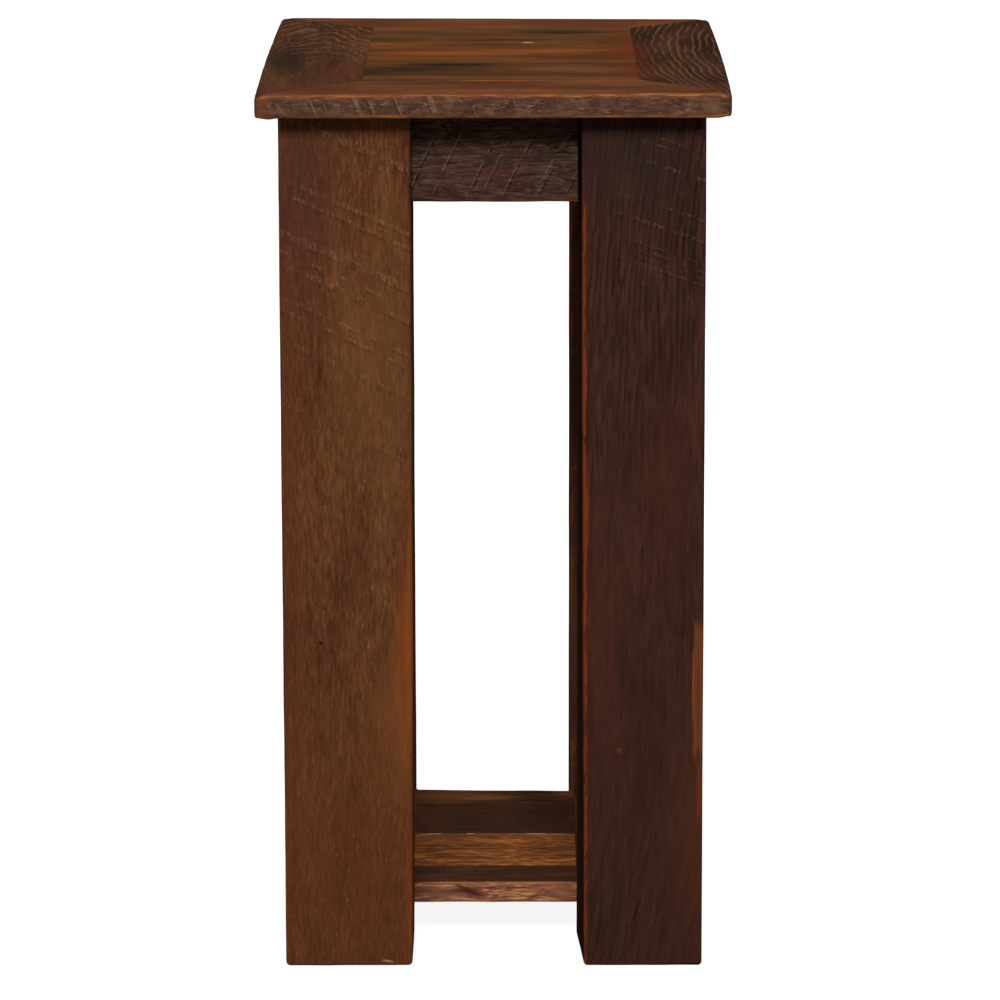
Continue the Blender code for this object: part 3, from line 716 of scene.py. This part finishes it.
def face_of(normal):
    axis = max(range(3), key=lambda index: abs(normal[index]))
    return axis, 1 if normal[axis] > 0 else -1


def rounded(block, edges, radius, segments):
    if edges:
        bmesh.ops.bevel(
            block, geom=edges, offset=radius, offset_type="OFFSET", affect="EDGES",
            segments=segments, profile=0.5, material=-1,
        )


def shaped_block(low, high, rounds, arris=ARRIS):
    """A block whose edges between the faces of each round get its radius, and the rest a thin arris."""
    block = bmesh.new()
    bmesh.ops.create_cube(block, size=1.0)
    bmesh.ops.scale(block, vec=high - low, verts=block.verts)
    bmesh.ops.translate(block, vec=(low + high) / 2, verts=block.verts)
    for opened, radius in rounds:
        sharp = [e for e in block.edges if e.calc_face_angle() > SHARP]
        worn = [e for e in sharp if all(face_of(f.normal) in opened for f in e.link_faces)]
        rounded(block, worn, radius, 4)
    rounded(block, [e for e in block.edges if e.calc_face_angle() > SHARP], arris, 2)
    return block


def cut_evenly(block):
    for axis in range(3):
        rows = {}
        for edge in block.edges:
            run = edge.verts[1].co - edge.verts[0].co
            if abs(run[axis]) > 0.999 * run.length and run.length > 1.5 * STEP:
                rows.setdefault(round(run.length / STEP), []).append(edge)
        for count, edges in rows.items():
            bmesh.ops.subdivide_edges(block, edges=edges, cuts=count - 1, use_grid_fill=True)
    block.normal_update()


# %% Wear a board down
# Steps of noise in a metre: for slow hollows, for lively nicks and for the wear along an edge.
HOLLOWS = 11.0
NICKS = 45.0
RUBBED = 16.0
SEED_STEPS = (3.7, 1.9, 5.3)


def weather(block, low, high, opened, seed, hollow, nicks, reach=7.0, rubs=()):
    """Moves points in by up to hollow mm on faces and nicks mm at worn edges, and notes the wear."""
    wear = block.verts.layers.float.new("wear")
    pairs = [(f, g) for f in opened for g in opened if f[0] < g[0]]
    shift = Vector(seed * step for step in SEED_STEPS)
    moves = []
    for vert in block.verts:
        gaps = {}
        for axis, side in opened:
            gaps[axis, side] = vert.co[axis] - low[axis] if side < 0 else high[axis] - vert.co[axis]
        edge = min((max(gaps[f], gaps[g]) for f, g in pairs), default=1.0)
        near = max(0.0, 1.0 - edge / (reach * MM))
        slow = 0.5 + 0.5 * noise.noise(vert.co * HOLLOWS + shift)
        lively = max(0.0, 0.45 + 0.9 * noise.noise(vert.co * NICKS + shift))
        move = -vert.normal * MM * (hollow * slow + nicks * lively * near * near)
        for axis in range(3):
            if (axis, 1 if vert.normal[axis] > 0 else -1) not in opened:
                move[axis] = 0.0
        moves.append(move)
        along = 0.5 + 0.5 * noise.noise(vert.co * RUBBED - shift)
        vert[wear] = near * (0.7 + 0.5 * along)
        # A rub adds to the wear round a place on the board, or takes some away.
        for centre, radii, amount in rubs:
            off = vert.co - Vector(centre)
            out = Vector((off[axis] / (radii[axis] * MM) for axis in range(3))).length
            vert[wear] = max(0.0, vert[wear] + amount * max(0.0, 1.0 - out))
    for vert, move in zip(block.verts, moves):
        vert.co += move


# %% Turn a block into a finished piece
CREASE = math.radians(42)


def finish_piece(name, block, finish, node, edge=None, edge_face=None):
    for face in block.faces:
        if edge and face_of(face.normal) == edge_face:
            face.material_index = 1
    bmesh.ops.recalc_face_normals(block, faces=block.faces)
    mesh = bpy.data.meshes.new(name)
    block.to_mesh(mesh)
    block.free()
    mesh.materials.append(finish)
    if edge:
        mesh.materials.append(edge)
    mesh.shade_smooth()
    mesh.set_sharp_from_angle(angle=CREASE)
    piece = bpy.data.objects.new(name, mesh)
    bpy.context.scene.collection.objects.link(piece)
    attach(piece, "root")
    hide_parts(node)
    print(name, "faces:", len(mesh.polygons))


# %% [markdown]
# ## Legs
#
# Each leg is a squared beam, open on four sides and at the foot, and closed only where the top lies on it.
# The right front leg was sawn out of square: its inner face slants, more at the foot than at the head,
# so that it shows dark beside the lit front. Old beams are never quite to size either: the front pair
# stands a millimetre or so wider than the solids, and the left one draws in again towards its foot.

# %% Make the legs
LEG_OPEN = faces("left", "right", "front", "back", "under")
LEG_SIDES = LEG_OPEN - faces("under")
LEG_SPREAD = {"front_left": (1.1 * MM, 1.5 * MM), "front_right": (0.0, 0.6 * MM)}
LEG_WEAR = {"hollow": 0.5, "nicks": 0.7}
LEG_REACH = {"front_left": 7.0, "front_right": 4.8, "back_left": 7.0, "back_right": 7.0}
LEG_RUBS = {
    "front_left": [
        ((-0.0571, -0.2119, 0.245), (26.0, 40.0, 110.0), 0.8),
        ((-0.0571, -0.2119, 0.51), (16.0, 30.0, 260.0), -0.6),
        ((-0.0571, -0.2119, 0.13), (14.0, 30.0, 50.0), -0.5),
        ((-0.1505, -0.2119, 0.31), (12.0, 30.0, 600.0), -0.6),
    ],
    "front_right": [
        ((0.1500, -0.2119, 0.35), (14.0, 30.0, 700.0), -0.9),
        ((0.0599, -0.2119, 0.32), (7.0, 30.0, 345.0), 0.6),
        ((0.0599, -0.2119, 0.64), (12.0, 30.0, 105.0), -0.75),
    ],
    "back_left": [],
    "back_right": [],
}
LEG_ROUND = 3.6 * MM
FOOT_ROUND = 2.8 * MM
FOOT_HEIGHT = 250.0 * MM
FOOT_TAPER = 1.5 * MM
SLANT_AT_FOOT = 4.6 * MM
SLANT_AT_HEAD = 2.3 * MM

legs = {word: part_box(f"{word}_leg") for word in LEG_REACH}
for word, (to_left, to_right) in LEG_SPREAD.items():
    legs[word][0].x -= to_left
    legs[word][1].x += to_right
for seed, (word, (low, high)) in enumerate(legs.items(), start=1):
    leg = shaped_block(low, high, [(LEG_SIDES, LEG_ROUND), (LEG_OPEN, FOOT_ROUND)])
    cut_evenly(leg)
    weather(leg, low, high, LEG_OPEN, seed, **LEG_WEAR, reach=LEG_REACH[word], rubs=LEG_RUBS[word])
    if word == "front_left":
        for vert in leg.verts:
            inner = (vert.co.x - low.x) / (high.x - low.x)
            vert.co.x -= FOOT_TAPER * inner * max(0.0, 1.0 - vert.co.z / FOOT_HEIGHT)
    if word == "front_right":
        for vert in leg.verts:
            inner = (high.x - vert.co.x) / (high.x - low.x)
            front = (high.y - vert.co.y) / (high.y - low.y)
            head = vert.co.z / high.z
            slant = SLANT_AT_FOOT + head * (SLANT_AT_HEAD - SLANT_AT_FOOT)
            vert.co.x += slant * inner * front
    finish_piece(f"{word}_leg_timber", leg, finishes[f"{word}_leg"], f"{word}_leg")

# %% [markdown]
# ## Aprons
#
# The aprons are boards on edge between the legs. The solid model has tenons that run into the legs. Here only
# the stretch that shows is made, from one leg's face to the other's, with the thickness and height of the
# solid.

# %% Make the aprons
APRON_OPEN = {
    "front": faces("front", "back", "under"),
    "back": faces("front", "back", "under"),
    "left": faces("left", "right", "under"),
    "right": faces("left", "right", "under"),
}
APRON_ROUND = 1.2 * MM
APRON_WEAR = {"hollow": 0.6, "nicks": 0.8, "reach": 4.0}
for seed, (word, opened) in enumerate(APRON_OPEN.items(), start=11):
    node = f"{word}_apron"
    low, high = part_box(node)
    if word in ("front", "back"):
        low.x = legs[f"{word}_left"][1].x + TIGHT
        high.x = legs[f"{word}_right"][0].x - TIGHT
    else:
        low.y = legs[f"front_{word}"][1].y + TIGHT
        high.y = legs[f"back_{word}"][0].y - TIGHT
    apron = shaped_block(low, high, [(opened, APRON_ROUND)])
    cut_evenly(apron)
    weather(apron, low, high, opened, seed, **APRON_WEAR)
    finish_piece(f"{node}_board", apron, finishes[node], node)

# %% [markdown]
# ## Shelf
#
# Two rails run from front to back behind the legs, and four boards lie between them. Again the tongues and
# tenons stay in the solid model. The front board gets a second finish on the edge that looks forward, and the
# rear end of the shelf stands up a little, where the back board has cupped.

# %% Make the shelf rails
CUP = 1.6 * MM
CUP_LEAN = 6.0
CUP_FROM, CUP_TO = (corner.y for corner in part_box("shelf_back_board"))
SHELF_ROUND = 1.4 * MM
RAIL_WEAR = {"hollow": 0.4, "nicks": 0.5, "reach": 4.0}


def cup(block):
    """Lifts the rear end of the shelf, most at the left."""
    for vert in block.verts:
        rear = max(0.0, (vert.co.y - CUP_FROM) / (CUP_TO - CUP_FROM))
        vert.co.z += CUP * rear * rear * (1.0 - CUP_LEAN * vert.co.x)


rails = {word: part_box(f"shelf_{word}_rail") for word in ("left", "right")}
for seed, (word, (low, high)) in enumerate(rails.items(), start=21):
    node = f"shelf_{word}_rail"
    low.y = legs[f"front_{word}"][1].y + TIGHT
    high.y = legs[f"back_{word}"][0].y - TIGHT
    opened = faces(word, "under", "over")
    rail = shaped_block(low, high, [(opened, SHELF_ROUND)])
    cut_evenly(rail)
    weather(rail, low, high, opened, seed, **RAIL_WEAR)
    cup(rail)
    finish_piece(f"{node}_board", rail, finishes[node], node)

# %% Make the shelf boards
BOARD_OPEN = {
    "front": faces("front", "under", "over"),
    "second": faces("under", "over"),
    "third": faces("under", "over"),
    "back": faces("back", "under", "over"),
}
BOARD_ARRIS = 0.4 * MM
BOARD_WEAR = {"hollow": 0.5, "nicks": 0.6, "reach": 4.0}
for seed, (word, opened) in enumerate(BOARD_OPEN.items(), start=31):
    node = f"shelf_{word}_board"
    low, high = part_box(node)
    low.x = rails["left"][1].x + TIGHT
    high.x = rails["right"][0].x - TIGHT
    board = shaped_block(low, high, [(opened, SHELF_ROUND)], BOARD_ARRIS)
    cut_evenly(board)
    weather(board, low, high, opened, seed, **BOARD_WEAR)
    cup(board)
    edge = fresh_edge_finish if word == "front" else None
    finish_piece(f"{node}_plank", board, finishes[node], node, edge, FACES["front"])

# %% [markdown]
# ## Top
#
# The border boards meet in mitres. Each starts as a full block, and its points are then drawn in along its
# length, more and more towards the inner edge, until its ends lie on the two mitre lines. Points past the
# round corner of the whole top are pulled back onto the corner's circle, and the corners are rubbed down from
# above and below. The photograph shows a few more things. The upper face is twisted by a millimetre or so, as
# wide boards of old wood are. The overhang hangs a little lower than the rest, most at the left, and its long
# sides bow out, most at the right. All are small moves of the points.

# %% Shape the border
inner_low = Vector((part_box("top_left_border")[1].x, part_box("top_front_border")[1].y, 0.0))
inner_high = Vector((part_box("top_right_border")[0].x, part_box("top_back_border")[0].y, 0.0))
CORNER = 8.0 * MM
CORNER_REACH = 1.4 * CORNER
CORNER_DROP = 4.5 * MM
LEFT_CORNER_RISE = 1.9 * MM
RIGHT_CORNER_RISE = 3.0 * MM
WIDER = 1.1 * MM
BOWED = 1.45 * MM
LIFT = 0.6 * MM
TWIST = 0.8 * MM
LIP = 1.2 * MM
SAG = 0.7 * MM
SAG_RUN = 4.0 * MM
OVERHANG_FROM = legs["back_right"][1] + Vector((MM, MM, 0.0))


def mitre(block, low, high, across, side):
    """Draws the ends of a border board in to its mitres; across is the axis of its width."""
    along = 1 - across
    width = high[across] - low[across]
    for vert in block.verts:
        inward = (vert.co[across] - low[across]) / width
        if side > 0:
            inward = 1.0 - inward
        start = cad_box[0][along] + inward * (inner_low[along] - cad_box[0][along]) + TIGHT
        stop = cad_box[1][along] + inward * (inner_high[along] - cad_box[1][along]) - TIGHT
        share = (vert.co[along] - low[along]) / (high[along] - low[along])
        vert.co[along] = start + share * (stop - start)


def round_corners(block, low, high):
    reach = cad_box[1]
    for vert in block.verts:
        corner = Vector((math.copysign(reach.x, vert.co.x), math.copysign(reach.y, vert.co.y)))
        middle = Vector((
            math.copysign(reach.x - CORNER, vert.co.x),
            math.copysign(reach.y - CORNER, vert.co.y),
        ))
        out = vert.co.to_2d() - middle
        past = out.x * middle.x > 0 and out.y * middle.y > 0
        if past and out.length > CORNER:
            vert.co.xy = middle + out.normalized() * CORNER
        closeness = max(0.0, 1.0 - (vert.co.to_2d() - corner).length / CORNER_REACH)
        share = (vert.co.z - low.z) / (high.z - low.z)
        rise = RIGHT_CORNER_RISE if vert.co.x > 0.0 else LEFT_CORNER_RISE
        vert.co.z += (rise * (1.0 - share) - CORNER_DROP * share) * closeness ** 2


def twist(block, low, high):
    """Lifts the upper face most at two opposite corners, and lets the overhang hang lower and further out."""
    reach = cad_box[1]
    for vert in block.verts:
        share = (vert.co.z - low.z) / (high.z - low.z)
        diagonal = vert.co.x * vert.co.y / (reach.x * reach.y)
        past = max(abs(vert.co.x) - OVERHANG_FROM.x, abs(vert.co.y) - OVERHANG_FROM.y, 0.0)
        sunk = LIP * min(1.0, past / (reach.x - OVERHANG_FROM.x))
        sunk += SAG * min(1.0, max(0.0, -vert.co.x - OVERHANG_FROM.x) / SAG_RUN)
        vert.co.z += share * (LIFT - TWIST * diagonal) - (1.0 - share) * sunk
        outward = max(0.0, abs(vert.co.x) - OVERHANG_FROM.x) / (reach.x - OVERHANG_FROM.x)
        bowed = BOWED * (1.0 - (vert.co.y / reach.y) ** 2)
        vert.co.x += outward * (bowed + WIDER if vert.co.x > 0.0 else -bowed)


# %% Make the border
UPPER_ROUND = 3.6 * MM
LOWER_ROUND = 2.2 * MM
BORDER_WEAR = {"hollow": 0.3, "nicks": 0.5, "reach": 6.0}
BORDER_RUBS = {
    "front": [],
    "back": [],
    "left": [((-0.166, 0.0, 0.630), (30.0, 700.0, 50.0), -1.3)],
    "right": [((0.166, 0.0, 0.630), (30.0, 700.0, 50.0), -1.1)],
}
for seed, (word, rubs) in enumerate(BORDER_RUBS.items(), start=41):
    node = f"top_{word}_border"
    low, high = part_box(node)
    upper = faces(word, "over")
    lower = faces(word, "under")
    border = shaped_block(low, high, [(upper, UPPER_ROUND), (lower, LOWER_ROUND)])
    cut_evenly(border)
    weather(border, low, high, upper | lower, seed, **BORDER_WEAR, rubs=rubs)
    mitre(border, low, high, *FACES[word])
    round_corners(border, low, high)
    twist(border, low, high)
    border.normal_update()
    finish_piece(f"{node}_board", border, finishes[node], node, edge_finish, FACES[word])

# %% Make the field
FIELD_WEAR = {"hollow": 0.4, "nicks": 0.0}
middle_low, middle_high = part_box("top_middle_field_board")
field_runs = {
    "front": (inner_low.y + TIGHT, middle_low.y - TIGHT),
    "middle": (middle_low.y, middle_high.y),
    "back": (middle_high.y + TIGHT, inner_high.y - TIGHT),
}
for seed, (word, (start, stop)) in enumerate(field_runs.items(), start=51):
    node = f"top_{word}_field_board"
    low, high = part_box(node)
    low = Vector((inner_low.x + TIGHT, start, low.z))
    high = Vector((inner_high.x - TIGHT, stop, high.z))
    board = shaped_block(low, high, [])
    cut_evenly(board)
    weather(board, low, high, faces("under", "over"), seed, **FIELD_WEAR)
    twist(board, low, high)
    finish_piece(f"{node}_plank", board, finishes[node], node)

# %% [markdown]
# ## Keys, cleats and screws
#
# The mitre keys sit inside the top, and the cleats and screws show only from below. Their solids are right as
# they are, so they keep their meshes and get finishes of their own: planed beech for the keys, sawn pine for
# the cleats, and zinc-plated steel with the faint mottle of its passivated skin for the screws.

# %% Finishes of the hidden parts
SPANGLE = 1.0 * MM
# Smooth and even.
key_finish = timber(
    "planed beech, pale",
    cut_from=(5.1, 0.1, 0.2),
    tones=("75573a", "8a6a45", "a07d55"),
    worn="a07d55",
    relief=0.15,
)
# Woolly, with dull streaks.
cleat_finish = timber(
    "sawn pine, aged",
    cut_from=(5.7, 0.4, 0.6),
    tones=("584029", "6f5238", "8a6a49"),
    worn="8a6a49",
    relief=0.4,
)
# Grey metal whose shine changes from spangle to spangle.
screw_finish = bpy.data.materials.new("zinc-plated steel, passivated")
screw_finish.use_nodes = True
zinc = screw_finish.node_tree
zinc_shader = zinc.nodes["Principled BSDF"]
zinc_place = add(zinc, "TexCoord", out="Object")
spangle = add(zinc, "TexVoronoi", {"Vector": zinc_place, "Scale": 1 / SPANGLE})
zinc_tones = {6: colour("9a978f"), 7: colour("7d7b78")}
zinc_colour = add(zinc, "Mix", {0: spangle, **zinc_tones}, 2, data_type="RGBA")
zinc_rough = add(zinc, "MapRange", {"Value": spangle, "To Min": 0.32, "To Max": 0.5})
zinc.links.new(zinc_colour, zinc_shader.inputs["Base Color"])
zinc.links.new(zinc_rough, zinc_shader.inputs["Roughness"])
zinc_shader.inputs["Metallic"].default_value = 1.0

# %% Give the solids their finishes
for name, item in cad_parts.items():
    if name in finishes:
        finish = finishes[name]
    elif name.endswith("mitre_key"):
        finish = key_finish
    elif name.endswith("cleat"):
        finish = cleat_finish
    else:
        finish = screw_finish
    for material_slot in item.material_slots:
        material_slot.material = finish
print("solid parts still shown:", sum(not item.hide_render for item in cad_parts.values()))

# %% [markdown]
# ## Camera
#
# The picture was taken from nearly four metres away with a long lens, a little above the table and looking
# down by about twelve degrees. That keeps the legs almost parallel and shows the top as a thin band.

# %% Place the camera
PITCH = math.radians(11.738)
TURN = math.radians(0.164)
ROLL = math.radians(-0.108)
STAND = (0.0155, -3.9468, 1.12)
camera = bpy.data.objects.new("camera", bpy.data.cameras.new("camera"))
camera.data.sensor_width = 36.0
camera.data.lens = 193.74
camera.data.clip_end = 60.0
turned = Matrix.Rotation(TURN, 4, "Z") @ Matrix.Rotation(math.pi / 2 - PITCH, 4, "X")
camera.matrix_world = Matrix.Translation(STAND) @ turned @ Matrix.Rotation(ROLL, 4, "Z")
bpy.context.scene.collection.objects.link(camera)
bpy.context.scene.camera = camera
bpy.context.scene.view_settings.view_transform = "Standard"
print("camera at", [round(c, 3) for c in camera.location])

# %% [markdown]
# ## Floor and light
#
# A tall soft box stands in front, almost half way up the sky, which lays the soft-edged shadow under the
# top's overhang. One overhead gives the top its share, and weak ones at the sides and behind open the shade
# there. The floor looks white to the camera and keeps a faint shadow near the feet. To light that bounces it
# is a mid grey, so that the underside of the top stays dark.

# %% Floor
FLOOR_RADIUS = 30.0
floor_form = bmesh.new()
bmesh.ops.create_circle(floor_form, cap_ends=True, segments=96, radius=FLOOR_RADIUS)
floor_mesh = bpy.data.meshes.new("studio floor")
floor_form.to_mesh(floor_mesh)
floor_form.free()
floor = bpy.data.objects.new("studio_floor", floor_mesh)
bpy.context.scene.collection.objects.link(floor)

# %% Paper of the floor
# Near the feet the paper leaves room for a shadow; further out than 1.5 m it is plain white.
FADE = {"From Min": 0.4, "From Max": 1.5, "To Min": 0.9, "To Max": 1.0}
floor_finish = bpy.data.materials.new("matt white paper sweep")
floor_finish.use_nodes = True
paper = floor_finish.node_tree
paper.nodes.remove(paper.nodes["Principled BSDF"])
rays = add(paper, "LightPath").node.outputs
seen = rays["Is Camera Ray"]
for kind in ("Is Glossy Ray", "Is Transmission Ray"):
    seen = add(paper, "Math", {0: seen, 1: rays[kind]}, operation="MAXIMUM")
spot = add(paper, "TexCoord", out="Object")
away = add(paper, "VectorMath", {0: spot}, "Value", operation="LENGTH")
whiteness = add(paper, "MapRange", {"Value": away, **FADE})
grey = add(paper, "BsdfDiffuse", {"Color": colour("888888")})
shadowed = add(paper, "BsdfDiffuse", {"Color": colour("808080")})
glow = add(paper, "Emission", {"Color": colour("ffffff"), "Strength": whiteness})
white = add(paper, "AddShader", {0: shadowed, 1: glow})
mixed = add(paper, "MixShader", {0: seen, 1: grey, 2: white})
paper.links.new(mixed, paper.nodes["Material Output"].inputs["Surface"])
floor_mesh.materials.append(floor_finish)

# %% World and lamps
AIM = Vector((0.0, 0.0, 0.35))
world = bpy.data.worlds.new("studio")
bpy.context.scene.world = world
world.use_nodes = True
world.node_tree.nodes["Background"].inputs["Color"].default_value = colour("ffffff")
world.node_tree.nodes["Background"].inputs["Strength"].default_value = 0.16


def soft_box(name, azimuth, elevation, distance, width, height, power):
    """A lamp that looks at the table, with angles in degrees, lengths in metres and power in watts."""
    lamp = bpy.data.lights.new(name, "AREA")
    lamp.shape = "RECTANGLE"
    lamp.size = width
    lamp.size_y = height
    lamp.energy = power
    item = bpy.data.objects.new(name, lamp)
    turn = math.radians(azimuth)
    rise = math.radians(elevation)
    back = Vector((math.sin(turn) * math.cos(rise), -math.cos(turn) * math.cos(rise), math.sin(rise)))
    item.location = AIM + back * distance
    item.rotation_euler = back.to_track_quat("Z", "Y").to_euler()
    item.visible_camera = False
    bpy.context.scene.collection.objects.link(item)
    return item


soft_box("key", 0.0, 41.6, 5.0, 1.9, 1.4, 254.0)
soft_box("overhead", 180.0, 78.0, 2.8, 1.2, 1.2, 5.0)
for name, azimuth in (("left_fill", -92.0), ("right_fill", 92.0), ("back_fill", 180.0)):
    fill = soft_box(name, azimuth, 10.0, 2.4, 1.4, 1.0, 18.0)
    # These lamps open the shade but leave no shine of their own.
    fill.visible_glossy = False
